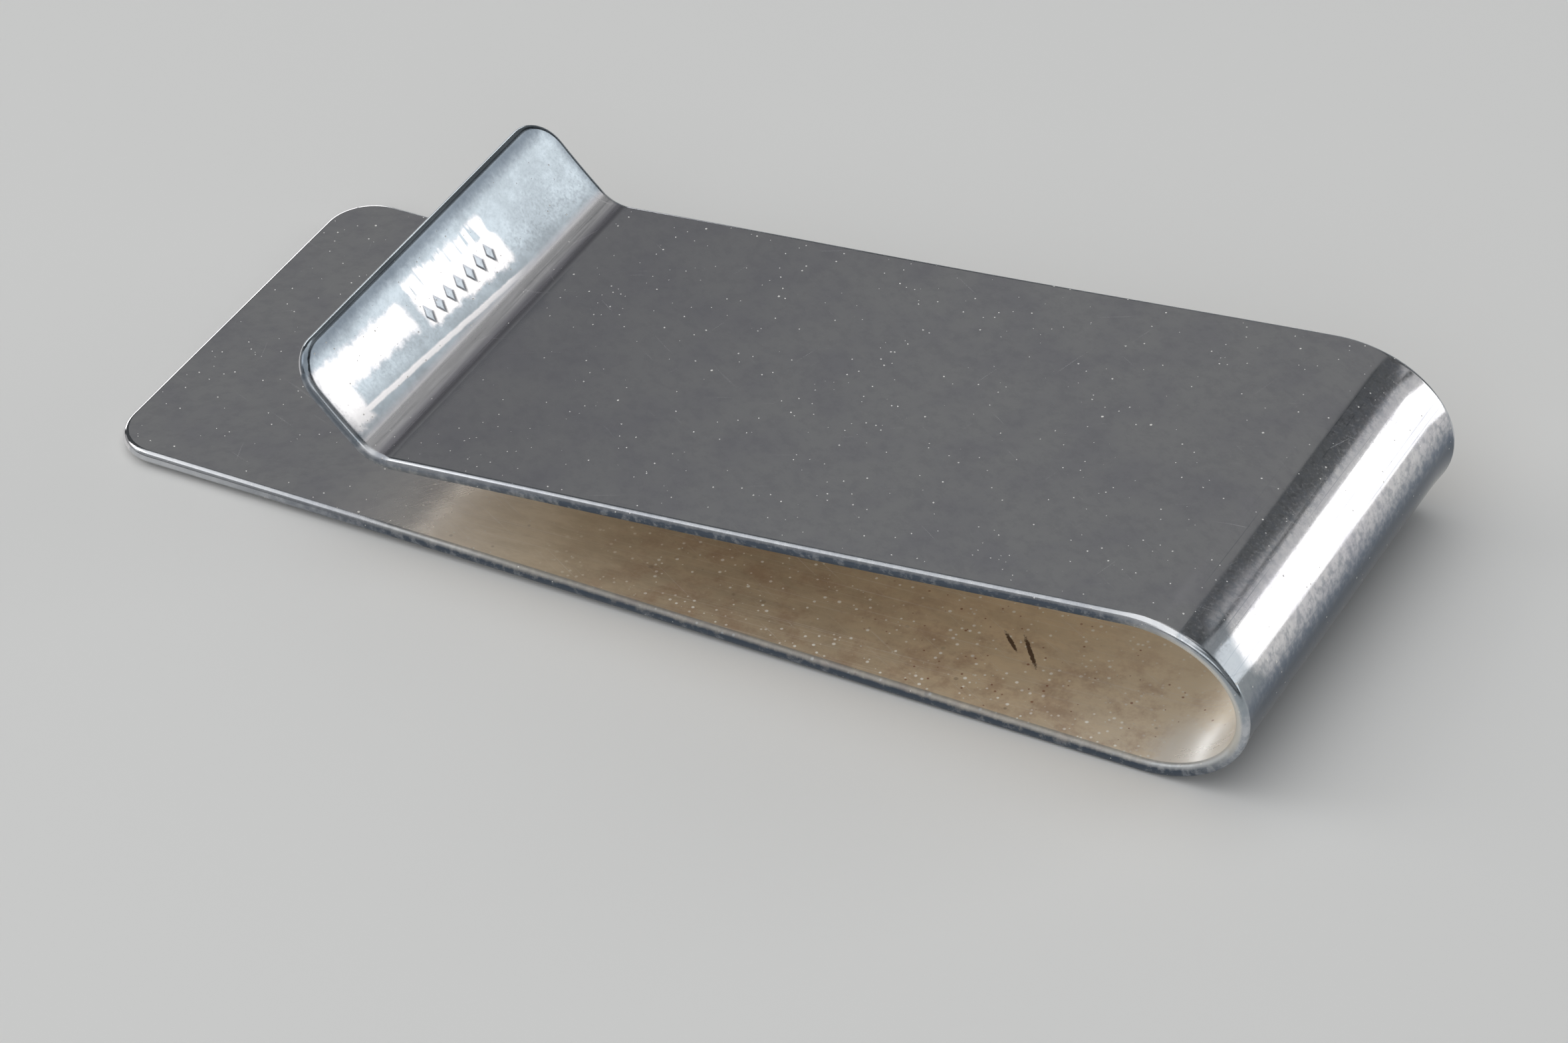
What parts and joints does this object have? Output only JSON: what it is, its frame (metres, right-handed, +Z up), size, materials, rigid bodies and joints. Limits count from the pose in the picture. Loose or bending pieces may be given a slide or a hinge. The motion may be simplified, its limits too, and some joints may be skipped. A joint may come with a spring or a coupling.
{
  "type": "money clip",
  "caption": "Bent-strip money clip: a long flat back leaf, a sprung U-shaped bow and a shorter sloping spring leaf that ends in a fold and a flared thumb lip.",
  "frame": {"origin": "middle of the footprint, on the surface that the back leaf lies on", "axes": "+X along the clip, from the free ends to the bow; +Y across the strip; +Z up, from the back leaf to the spring leaf"},
  "size_m": [0.0506, 0.019, 0.0077],
  "materials": {
    "leaf_silver": "worn polished sterling silver with fine scratches and a light tarnish, tan inside the slot",
    "bow_silver": "bright worn sterling silver with fine scratches and grey mottling along the bend",
    "lip_silver": "bright sterling silver with cloudy tarnish patches and a darker rim"
  },
  "bodies": {
    "back": {"back_leaf": "leaf_silver", "back_bow": "bow_silver"},
    "spring": {"front_bow": "bow_silver", "spring_leaf": "leaf_silver", "leaf_fold": "leaf_silver", "thumb_lip": "lip_silver"}
  },
  "joints": [
    {"name": "bow_flex", "type": "hinge", "parent": "back", "child": "spring", "pos_m": [0.02331, 0, 0.0038], "axis": [0, 1, 0], "range_deg": [-4.5, 12], "stiffness_Nm_per_rad": 1}
  ]
}
